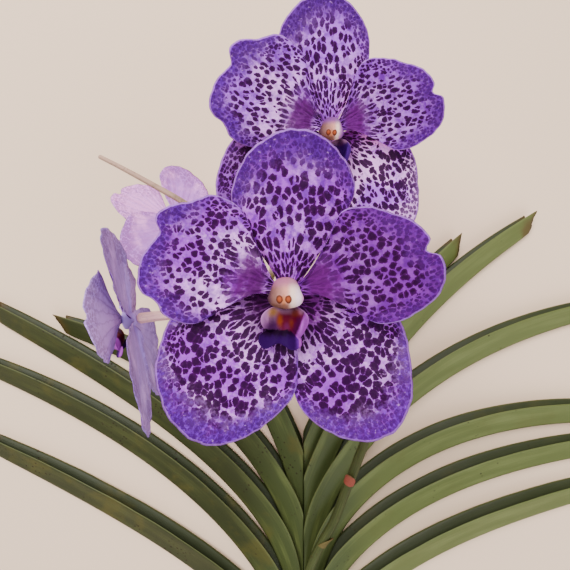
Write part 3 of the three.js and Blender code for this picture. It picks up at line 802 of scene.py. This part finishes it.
def lipMesh(name, matrix):
    (cx, cy), (rx, ry) = lipShape["centre"], lipShape["radii"]
    angles = circle(72)
    s = np.sin(np.linspace(0, np.pi / 2, 22))[:, None]
    u, v = s * np.cos(angles), s * np.sin(angles)
    x = cx + rx * u
    # a notch above the middle and a flap that hangs lower on the right
    y = cy + ry * v - lipShape["notch"] * bell(u, 0.3) * np.clip(v, 0, 1)
    y = y - lipShape["flap"] * bell(u - 0.68, 0.22) * np.clip(-v, 0, 1)
    ridge = bell(np.abs(u) - 0.72, 0.24) * (1 - 0.35 * v**2)
    keel = lipShape["keel"] * bell(u, 0.14) * np.clip(0.2 - v, 0, 1)
    z = lipShape["valley"] + lipShape["lobe"] * ridge * (1 - 0.75 * s**6) + keel
    z = z + 0.16 * np.sin(9 * u + 4 * v)
    z = np.where(v < -0.2, z - (-0.2 - v) * 1.2, z)
    floor = lipShape["floor"] + 2.4 * s**2
    edge = s**10  # both faces meet at the rim
    middle = (z + floor) / 2
    low, top = (np.stack([x, y, side * (1 - edge) + middle * edge], -1) for side in (floor, z))
    return roundBody(name + "Trough", np.vstack([low, top[::-1]]), matrix, {"blade": [0.5, 0.0, 1.0]})


def lipFrontMesh(name, matrix):
    def height(a, c, reach, turns):
        keel = 0.35 * bell(c, 0.1) * np.sin(np.pi * np.clip(a, 0, 1))
        curl = 0.3 * wave(3 * turns + 0.15) * reach**3
        return 4.4 + 5.8 * a - 9 * c**2 - keel + curl

    return bladeMesh(name + "Front", lipFront, matrix, lipFront["thickness"], (26, 80), seed=3, height=height)


def lipMaterial(name, look):
    b = newMaterial(name, look)
    own = b.attribute("own")
    x, y, _ = b.split(own)
    _, reach, _ = b.split("blade")
    fine = b.noise(own, 0.9, 3.0)
    soft = (fine - 0.5) * 2.0

    def near(*spot):
        return b.fall(fromMiddle(x, y, *spot) + soft * 0.25, 0.15, 1.25)

    # left lobe mauve, the trough maroon with orange and rusty streaks, the right lobe plum and pale
    ring = fromMiddle(x, y, *lipShape["centre"], *lipShape["radii"])
    slant = x - (y + 6.4) * 0.37
    trough = b.rise(x + (y + 7.0) * 0.2 + soft * 0.9, -3.8, -1.2) * b.rise(-y, 3.8, 6.4)
    # edgeHighlight: a painted highlight along the left lobe's outer rim and the trough's upper rim
    side = b.paint(
        "lobeLow", (b.rise(y + soft, -9.6, -4.6), "lobeHigh"),
        (b.rise(-x + soft * 0.3, 5.0, 7.8) * 0.6, "edgeHighlight"), (near(-3.9, -4.9, 2.0, 1.9) * 0.85, "yellow"),
        (trough, "maroon"), (near(0.7, -9.8, 1.5, 1.7) * 0.55, "rose"),
        (near(-1.8, -7.6, 1.3, 2.8) * 0.9, "orange"), (near(3.4, -5.1, 1.9, 1.9) * 0.85, "rust"),
        (near(2.1, -8.8, 1.1, 2.0) * 0.75, "rust"),
        (b.rise(slant + soft * 0.7, 3.4, 5.2) * b.rise(-y, 5.0, 7.5) * 0.8, "plum"),
        (b.rise(slant + soft * 0.3, 5.5, 6.5) * 0.95, "pale"),
        (b.rise(ring, 0.93, 0.99) * b.rise(y, -8.5, -5.5) * 0.7, "edgeHighlight"),
    )
    front = b.paint(
        "frontDark", (b.rise(-y + soft, 11.6, 14.0), "front"),
        (b.rise(x + soft * 0.5, 3.0, 4.8) * 0.85, "frontLilac"),
        (b.rise(reach, 0.95, 0.99) * 0.2, "frontLilac"),
    )
    border = -y - (x + 4.0) * 0.07 + soft * 0.7
    onFront = b.rise(border, 10.2, 11.0) * b.fall(x + (y + 11.5) * 0.9, 1.9, 2.7) * b.fall(x, 4.4, 4.9)
    skin = b.mix(onFront, side, front)
    return b.wear(skin, 0.5 + fine * 0.14, shine=0.03, relief=fine, strength=0.25, depth=0.0004)


# Stalks: the spike, the blooms' own stalks and the roots follow a path

stalkForm = {"taper": 1.0, "ribs": 6.0, "ribDepth": 0.0, "twist": 0.0, "wobble": 0.0, "seed": 1.0}


def stalkTree():
    b, path, *given, material = newTree("stalkAlongPath", ("footRadius", "tipRadius", "length", *stalkForm))
    foot, tip, length, taper, ribs, ribDepth, twist, wobble, seed = given
    grid, u, v = unitGrid(b, 33, 121)
    share = 0.5 - (v * math.pi).cos() * 0.5
    spot = onPath(b, path, share)
    normal = spot.out("Normal")
    across = b.vector("CROSS_PRODUCT", spot.out("Tangent"), normal)
    angle = u * (2 * math.pi) + twist * share
    radius = foot + (tip - foot) * share ** taper
    nearFoot, nearTip = (b.math("MINIMUM", end * length / radius, 1.0) for end in (share, 1.0 - share))
    cap = ((1.0 - (1.0 - nearFoot) ** 2.0) ** 0.5) * ((1.0 - (1.0 - nearTip) ** 2.0) ** 0.5)
    lump = b.noise(spot, 70.0, 1.0, seed=seed)
    size = radius * cap * (1.0 + (angle * ribs).cos() * ribDepth + (lump - 0.5) * wobble)
    out = b.vector("ADD", b.scaled(normal, size * angle.cos()), b.scaled(across, size * angle.sin()))
    return endTree(b, grid, "strand", b.combine(u, share, seed), b.vector("ADD", spot, out), material)


spike = {
    "path": [
        (2, 34, 12), (1.8, 50, 19), (3.5, 68, 20.5), (10.5, 85, 22), (18, 101, 26), (24, 124, 36),
        (30, 150, 50), (31, 171, 68), (18, 201, 86), (-1.4, 226.6, 93), (-16.8, 247.2, 95.5),
        (-32.8, 266.2, 98.5), (-46, 277.5, 104), (-56, 286, 110), (-70, 294, 113), (-83, 301, 115),
        (-93, 306, 116),
    ],
    "footRadius": 3.0, "tipRadius": 0.9,
    "form": {"taper": 2.0, "ribs": 5.0, "ribDepth": 0.03, "wobble": 0.12, "seed": 2.0},
    # each bract: its place up the spike, the side it points to, its length, and which look it wears
    "bracts": [
        (0.16, (0.9, 0, 0.5), 9, "bractGreen"), (0.31, (-0.2, 0.3, 0.8), 10, "bractRed"),
        (0.52, (0.6, 0.6, 0.5), 9, "bractGreen"), (0.87, (-0.3, -0.6, 0.5), 7, "bractOrange"),
    ],
}
pedicel = {
    "radius": 1.7, "neckRadius": 2.5, "hubBack": 5.3, "samples": 60,
    "form": {"taper": 2.0, "ribs": 6.0, "ribDepth": 0.12, "twist": 1.6},
}
roots = {
    "footRadius": 3.0, "tipRadius": 2.4, "form": {"ribs": 3.0, "ribDepth": 0.03, "wobble": 0.25},
    "paths": [
        [(-9, -30, 6), (-26, -46, 3.4), (-52, -58, 3.2), (-80, -88, 2.5)],
        [(9, -28, 6), (24, -50, 3.4), (44, -72, 3.2), (66, -112, 2.5)],
        [(-4, -46, 8), (-12, -70, 4), (-14, -96, 3.2), (-30, -128, 2.5)],
        [(4, -46, 8), (10, -72, 4), (26, -100, 3.2), (24, -136, 2.5)],
    ],
}


def pedicelLine(spikeLine, bloom):
    forward = np.array(Vector(bloom["facing"]).normalized())
    end = np.array(bloom["centre"], float) - forward * pedicel["hubBack"] * bloom["size"] * 0.93
    start = spikeLine[int(round(bloom["from"] * (len(spikeLine) - 1)))]
    away = unit(end - forward * 16 - start)
    # a Bezier curve that leaves the spike towards the bloom and runs into its back
    t = np.linspace(0, 1, pedicel["samples"])[:, None]
    line = (1 - t) ** 3 * start + 3 * (1 - t) ** 2 * t * (start + away * 14)
    line = line + 3 * (1 - t) * t**2 * (end - forward * 18) + t**3 * end
    return resample(line, pedicel["samples"])


def bractMesh(name, line, at, towards, length):
    # a small scale that clasps the stalk and stands off at its tip
    index = int(at * (len(line) - 1))
    onward = unit(line[min(index + 3, len(line) - 1)] - line[max(index - 3, 0)])
    lean = np.array(towards, float)
    lean = unit(lean - onward * lean.dot(onward))
    sideways = np.cross(onward, lean)
    radius = spike["footRadius"] + (spike["tipRadius"] - spike["footRadius"]) * at**2
    rows, columns = 18, 22
    v, u = np.arange(rows)[:, None, None] / (rows - 1), 2 * np.arange(columns)[:, None] / (columns - 1) - 1
    angle = u * 1.9 * (1 - v) ** 0.75
    edge = np.maximum(0, 1 - np.abs(u) ** 8) ** 0.5 * np.maximum(0, 1 - v**10) ** 0.5
    out = radius + 0.15 + 0.2 * length * v**1.8
    middle = line[index] + onward * (length * v - 1.5)
    around = lean * np.cos(angle) + sideways * np.sin(angle)
    sheets = [(middle + around * (out + thick * edge)).reshape(-1, 3) for thick in (0.35, -0.15)]
    marks = spread(u[:, 0], v[:, :, 0], 0)
    strand = np.vstack([marks, marks])
    return makeMesh(name, np.vstack(sheets) * mm, sheetFaces(rows, columns), {"strand": strand})


# base, light, tint and fleck; where the tint comes in from foot to tip; roughness; grain
stalkLook = {
    "spike": ("30361a", "4c542a", "b89684", "3a1c12", (0.78, 0.92), 0.5, 0.3),
    "pedicel": ("d8a4a8", "f0c8bc", "6a6030", "b07ab0", (0.16, 0.0), 0.45, 0.2),
    "root": ("a9aa97", "c4c3b4", "7d8b58", "7f7a66", (0.9, 1.0), 0.8, 0.5),
    "bractRed": ("7c3428", "a4584a", "5e4a2a", "6a3a2b", (0.7, 1.0), 0.6, 0.3),
    "bractGreen": ("5a4a28", "6c6438", "6a4a30", "4a3422", (0.7, 1.0), 0.6, 0.3),
    "bractOrange": ("b0602c", "d89058", "8a4a28", "6a3a2b", (0.7, 1.0), 0.6, 0.3),
}


def stalkMaterial(name, look):
    # base colour with long fibres, a second tint towards one end, and small flecks
    base, light, tint, fleck, fade, roughness, grain = look
    b = newMaterial(name)
    u, v, seed = b.split("strand")
    spot = b.place()
    angle = u * 6.2832
    fibre = b.noise(b.combine(angle.sin() * 5.0, angle.cos() * 5.0, v * 6.0 + seed), 2.4, 4.0, 0.6)
    cloud = b.noise(spot, 220.0, 3.0)
    flecks = b.rise(b.noise(spot, 900.0), 0.62, 0.72)
    skin = b.paint(
        base, (b.rise(fibre, 0.35, 0.7), light), (b.rise(v + (cloud - 0.5) * 0.3, *fade), tint),
        (flecks * 0.45, fleck),
    )
    relief = fibre * 0.6 + cloud * grain
    return b.wear(skin, roughness + fibre * 0.12, shine=0.25, relief=relief, strength=0.4, depth=0.0005)


stalks = stalkTree()


def putStalk(name, line, footRadius, tipRadius, form, material, slotName, node, meshName=None):
    length = float(np.linalg.norm(np.diff(line, axis=0), axis=1).sum())
    sizes = {"footRadius": footRadius * mm, "tipRadius": tipRadius * mm, "length": length * mm}
    mesh = growAlong(meshName or name, line, stalks, material, {**stalkForm, **form, **sizes})
    putPiece(name, mesh, material, slotName, node)


def buildSpike(line):
    green = stalkMaterial("spikeGreen", stalkLook["spike"])
    radii = spike["footRadius"], spike["tipRadius"]
    putStalk("flowerSpike", line, *radii, spike["form"], green, "spike", "flower_spike", "spikeStalk")
    for look in sorted({bract[3] for bract in spike["bracts"]}):
        scales = [
            bractMesh(f"{look}{k}", line, at, towards, length)
            for k, (at, towards, length, wears) in enumerate(spike["bracts"]) if wears == look
        ]
        putPiece(look, joinMeshes(look, scales), stalkMaterial(look, stalkLook[look]), "spike")


def buildBlooms(spikeLine):
    lilac = stalkMaterial("pedicelLilac", stalkLook["pedicel"])
    column, lip = columnMaterial("columnCream", columnLook), lipMaterial("lipViolet", lipLook)
    columns = {"b": columnMaterial("columnCreamDusk", duskColumn)}
    lips = {"b": lipMaterial("lipIndigo", indigoLip)}
    skins = {
        "a": tepalMaterial("tepalSpotted", tepalLook), "b": tepalMaterial("tepalFineSpotted", fineLook),
        "c": tepalMaterial("tepalPaleBack", tepalLook), "d": tepalMaterial("tepalShadedBack", shadedBack),
    }
    for key, bloom in blooms.items():
        matrix = bloomMatrix(bloom)
        grid = [int(tepal[part] * bloom["detail"]) for part in ("rings", "spokes")]
        blades = [
            bladeMesh(
                f"bloom{key}{name}", bulged(shape, bloom["bulge"].get(name)), matrix, tepal["thickness"],
                grid, seed=ord(key) * 5 + index, turn=bloom["turns"].get(name, 0),
                size=bloom["sizes"].get(name, 1), shade=bloom["paintedShadesAndTones"].get(name, 0.0),
            )
            for index, (name, shape) in enumerate(tepalShapes.items())
        ]
        mark = f"bloom{key.upper()}"
        shrunk = matrix @ Matrix.Scale(bloom["columnSize"], 4)
        turned = matrix @ Matrix.Rotation(math.radians(bloom["lipTurn"]), 4, "Z")
        parts = {
            "Tepals": ([*blades, hubMesh(f"bloom{key}Hub", matrix)], skins[key]),
            "Column": ([columnMesh(mark + "Head", shrunk)], columns.get(key, column)),
            "Lip": ([lipMesh(mark + "Lip", turned), lipFrontMesh(mark + "Lip", turned)], lips.get(key, lip)),
        }
        for part, (meshes, material) in parts.items():
            slotName, mesh = part.lower(), joinMeshes(mark + part, meshes)
            putPiece(mark + part, mesh, material, slotName, f"bloom_{key}_{slotName}")
        radii = pedicel["radius"], pedicel["neckRadius"] * bloom["size"]
        form = {**pedicel["form"], "seed": float(ord(key))}
        line = pedicelLine(spikeLine, bloom)
        putStalk(f"pedicel{key.upper()}", line, *radii, form, lilac, "pedicel", f"pedicel_{key}")


def buildRoots():
    velamen = stalkMaterial("rootVelamen", stalkLook["root"])
    for k, path in enumerate(roots["paths"]):
        form = {**roots["form"], "seed": 5.0 + k}
        radii = roots["footRadius"], roots["tipRadius"]
        putStalk(f"root{k + 1}", smoothPath(path, 80), *radii, form, velamen, "root", f"root_{k + 1}")


spikeLine = smoothPath(spike["path"], 201)
buildSpike(spikeLine)
buildBlooms(spikeLine)
buildRoots()
print("blooms, spike and roots")


# Leaves: folded straps on the course of their keel

leaf = {
    "footHeight": 8.8, "tipHeight": 2.7,
    "form": {
        "wing": 19 * mm, "thickness": 1.2 * 0.85 * mm, "opening": 70 * mm, "tipStep": 7 * mm,
        "plane": 0.15 * mm, "nearFold": math.radians(24), "farFold": math.radians(12),
        "footFold": math.radians(25), "footWidth": 0.5,
    },
}
# side, x and y of the foot, heading at the foot and at the tip, length of the bend between them, length
leaves = {
    "leaf_left_1": (-1, 7, -20, 17, 65, 69, 270), "leaf_left_2": (-1, 7, 2, 13, 76, 150, 296),
    "leaf_left_3": (-1, 10, 26, -4, 62, 78, 300), "leaf_left_4": (-1, 6.8, 40, -4, 98, 190, 256),
    "leaf_left_5": (-1, 2.2, 50, -3, 56, 170, 250), "leaf_right_1": (1, 7, -16, 16, 80, 90, 276),
    "leaf_right_2": (1, 8, 4, 3, 92, 116, 296), "leaf_right_3": (1, 11, 30, -3, 112, 152, 300),
    "leaf_right_4": (1, 8, 42, -1, 108, 228, 300), "leaf_right_5": (1, 4, 50, 1, 88, 290, 294),
    "leaf_right_6": (1, 0.4, 56, -1, 71, 230, 250),
}


def leafCourse(side, x, y, launch, arch, bend, length):
    steps = 96
    step = length / steps
    line = []
    px, py = side * x, y
    for k in range(steps + 1):
        s = k * step
        heading = math.radians(launch + (arch - launch) * (1 - math.exp(-s / bend)))
        height = leaf["footHeight"] + (leaf["tipHeight"] - leaf["footHeight"]) * (s / length) ** 1.5
        line.append((px, py, height))
        px += side * math.sin(heading) * step
        py += math.cos(heading) * step
    return np.array(line)


def leafTree():
    b, path, *given, material = newTree("foldedLeaf", ("side", "length", *leaf["form"], "seed"))
    side, length, wing, thickness, opening, tipStep, plane, *folds, footFold, footWidth, seed = given
    grid, u, v = unitGrid(b, 57, 130)
    t = 1.0 - b.math("MINIMUM", u, 1.0 - u) * 4.0
    inner = b.math("SIGN", 0.5 - u)
    keel = onPath(b, path, v)
    tx, ty, _ = b.split(keel.out("Tangent"))
    ox, oy, _ = b.split(b.vector("NORMALIZE", b.combine(tx, ty)))
    inX, inY = -oy * side, ox * side
    opened = b.rise(v * length, 0.0, opening)
    width = wing * (footWidth + (1.0 - footWidth) * opened) * (1.0 - 0.35 * v ** 4.0)
    near, far = (footFold + (fold - footFold) * opened for fold in folds)
    # the section: two wings from a rounded keel, each bowed a little
    bow = 1.0 - 0.12 * abs(t) ** 2.0
    nearAngle, farAngle = near * (2.0 - bow) * 0.96, far * (2.0 - bow) * 0.96
    lean = t / ((t * t + 0.008) ** 0.5)
    p, q = (1.0 + lean) * 0.5, (1.0 - lean) * 0.5
    nearIn, nearUp, farIn, farUp = nearAngle.cos(), nearAngle.sin(), farAngle.cos(), farAngle.sin()
    soft = (t * t + 0.004) ** 0.5 - 0.063
    wall = thickness / ((near + far) * 0.5).sin()
    normalIn = p * nearUp + q * farUp + 0.05
    normalUp = q * farIn - p * nearIn
    scale = (normalIn * normalIn + normalUp * normalUp) ** 0.5
    edge = (1.0 - abs(t) ** 10.0) ** 0.5
    half = thickness * 0.5 * edge * inner * (0.75 + 0.25 * opened) * (1.0 - v ** 60.0)
    ripple = b.noise(b.combine(v * 9.0, t * 0.6), 1.0, 1.0, seed=seed)
    sway = (ripple - 0.5) * 0.0022 * abs(t) * opened
    inwards = width * soft * (p * nearIn + q * farIn) + wall * 0.5 + half * normalIn / scale
    upwards = width * soft * (p * nearUp - q * farUp) + half * normalUp / scale + sway
    # the tip is bitten off unevenly: set back at the keel, forward on the near wing
    jag = b.noise(b.combine(t * 5.0, 0.0), 1.0, seed=seed)
    reachOut = abs(t) * (1.0 + b.math("GREATER_THAN", t, 0.0)) - 1.0
    forward = (reachOut * tipStep * 0.8 + (jag - 0.65) * 0.004) * b.rise(v, 0.93, 1.0)
    kx, ky, kz = b.split(keel)
    x = side * b.math("MAXIMUM", side * (kx + inX * inwards + ox * forward), plane)
    y = ky + inY * inwards + oy * forward
    place = b.combine(x, y, b.math("MAXIMUM", kz + upwards, 0.0001))
    return endTree(b, grid, "strap", b.combine(t, v, inner * 0.5 + 0.5), place, material)


# near and nearPale: the lit right rank; shadeNear, shadePale and shadeStrip: painted-shade copies for the
# left rank; farWingShade: painted shade on the far wing
leafLook = {
    "near": "5a6432", "nearPale": "6e7844", "farWingShade": "28281a", "shadeNear": "31351a", "shadePale": "474b26",
    "shadeStrip": "1a1a0b", "middle": "424c28", "inner": "343e20", "patch": "565020", "freckle": "24140a",
    "keel": "767c48", "dry": "54401f",
}


def leafMaterial(look):
    # the near wing is olive and the far wing has a dark strip of painted shade on its inner face over its own
    # darker green; the left rank wears painted-shade greens and the middle leaves are deeper in tone
    b = newMaterial("leafGreen", look)
    t, v, inner = b.split("strap")
    spot = b.place()
    x, _, _ = b.split(spot)
    shade = b.noise(b.combine(t * 2.2, v * 5.0, inner), 1.0, 3.0)
    fibre = b.noise(b.combine(t * 30.0, v * 2.0, inner * 5.0), 1.4, 4.0, 0.65)
    cloud = b.noise(spot, 34.0, 4.0, 0.6)
    # the right rank wears the lit greens, the left rank the painted-shade greens
    right = b.rise(x + (cloud - 0.5) * 0.03, 0.0, 0.04)
    pale = b.rise(shade + (fibre - 0.5) * 0.5, 0.4, 0.75) * 0.8
    lit = b.mix(pale, "near", "nearPale")
    # deep: the painted-shade near wing of the left rank
    deep = b.mix(pale, "shadeNear", "shadePale")
    central = b.fall(abs(x - 0.004), 0.014, 0.05)
    near = b.mix(central * 0.85, b.mix(right, deep, lit), b.mix(pale, "middle", lit))
    farWingShade = b.mix(right, "shadeStrip", "farWingShade")
    farWingShade = b.mix(inner, near, b.mix(b.rise(fibre, 0.4, 0.8) * 0.35, farWingShade, near))
    # yellowed patches and brown freckles, most of them on the left rank
    patch = b.rise(cloud, 0.54, 0.72) * (1.0 - right * 0.65)
    edge = b.rise(abs(t), 0.955, 0.995) + b.fall(abs(t), 0.0, 0.04) * 0.6
    dots = b.add("ShaderNodeTexVoronoi", {"Vector": spot, "Scale": 330.0})
    freckle = b.fall(dots, 0.14, 0.3) * b.rise(b.noise(spot, 48.0) - right * 0.06, 0.54, 0.66)
    dry = b.rise(v + (cloud - 0.5) * 0.12, 0.965, 1.0)
    skin = b.paint(
        b.mix(b.rise(t, -0.06, 0.06), farWingShade, near), (inner * 0.6, "inner"), (patch * 0.55, "patch"),
        (edge * 0.5, "keel"), (freckle * 0.85, "freckle"), (dry * 0.8, "dry"),
    )
    roughness, relief = 0.4 + cloud * 0.2 + freckle * 0.2, fibre * 0.7 + cloud * 0.3 - freckle * 0.6
    return b.wear(skin, roughness, shine=0.3, relief=relief, strength=0.35, depth=0.0005)


def buildLeaves():
    tree, material = leafTree(), leafMaterial(leafLook)
    for k, (name, course) in enumerate(leaves.items()):
        numbers = {"side": float(course[0]), "length": course[6] * mm, **leaf["form"], "seed": 3.0 + 1.7 * k}
        mesh = growAlong(name.replace("_", ""), leafCourse(*course), tree, material, numbers)
        _, rank, number = name.split("_")
        putPiece(f"leaf{rank.capitalize()}{number}", mesh, material, "leaf", name)


buildLeaves()
print("leaves")


# Stem: sheaths that clasp it in two ranks, dry and frayed lower down

stem = {
    # each ring: its place along the stem, half its width and half its depth
    "rings": [
        (-46, 8.6, 8.6), (-36, 9.4, 9), (-24, 9.2, 9), (-14, 11, 9), (-2, 12, 9), (8, 13.6, 9), (20, 15, 8.8),
        (32, 15.4, 8.4), (42, 14, 7.6), (52, 10.8, 6.2), (58, 7.6, 4.6),
    ],
    "axisHeight": 8.8, "pitch": 11.0, "lip": 1.1,
}
stemLook = {"green": "6f7a3d", "pale": "99a062", "dry": "8a7550", "fibre": "5c4a2e"}


def stemMesh():
    rings = np.array(stem["rings"], float)
    columns = 96
    y = np.linspace(rings[0, 0], rings[-1, 0], 180)[:, None]
    wide, deep = (np.interp(y, rings[:, 0], rings[:, k]) for k in (1, 2))
    angles = circle(columns)
    slope = np.sin(angles)
    # each sheath overlaps the next one up; its mouth slopes down to the side away from its leaf
    right = ((y + 6 * slope) / (2 * stem["pitch"])) % 1
    left = ((y - 6 * slope) / (2 * stem["pitch"]) + 0.5) % 1
    over = np.where(slope > 0, right, left)
    inset = -stem["lip"] - 0.2 + stem["lip"] * (over**1.5) + 0.14 * np.cos(angles * 46)
    end = np.minimum(1.0, (y[-1] - y) / 3 + 0.25) * np.minimum(1.0, (y - y[0]) / 2 + 0.7)
    x = (wide + inset) * end * slope
    z = stem["axisHeight"] + (deep + inset) * end * np.cos(angles)
    points, faces = closedRings(spread(x, y, np.maximum(z, 0.02)) * mm, columns)
    marks = spread(angles / (2 * np.pi), (y - y[0]) / (y[-1] - y[0]), over)
    marks = np.vstack([marks, (0.5, 0, 0.5), (0.5, 1, 0.5)])
    return makeMesh("stem", points, faces, {"sheath": marks})


def stemMaterial(look):
    b = newMaterial("stemSheaths", look)
    _, v, over = b.split("sheath")
    spot = b.place()
    x, y, z = b.split(spot)
    fibre = b.noise(b.combine(x * 900.0, y * 60.0, z * 900.0), 1.0, 4.0, 0.65)
    cloud = b.noise(spot, 90.0, 3.0)
    frayed = b.mix(b.rise(fibre, 0.3, 0.7), "fibre", "dry")
    skin = b.paint(
        "green", (b.rise(fibre, 0.35, 0.7), "pale"),
        (b.fall(v + (cloud - 0.5) * 0.3, 0.15, 0.6), frayed), (b.rise(over, 0.86, 0.99) * 0.7, "dry"),
    )
    return b.wear(skin, 0.6 + cloud * 0.15, relief=fibre, strength=0.5, depth=0.0006)


putPiece("stemSheaths", stemMesh(), stemMaterial(stemLook), "stem", "stem")
print("stem")
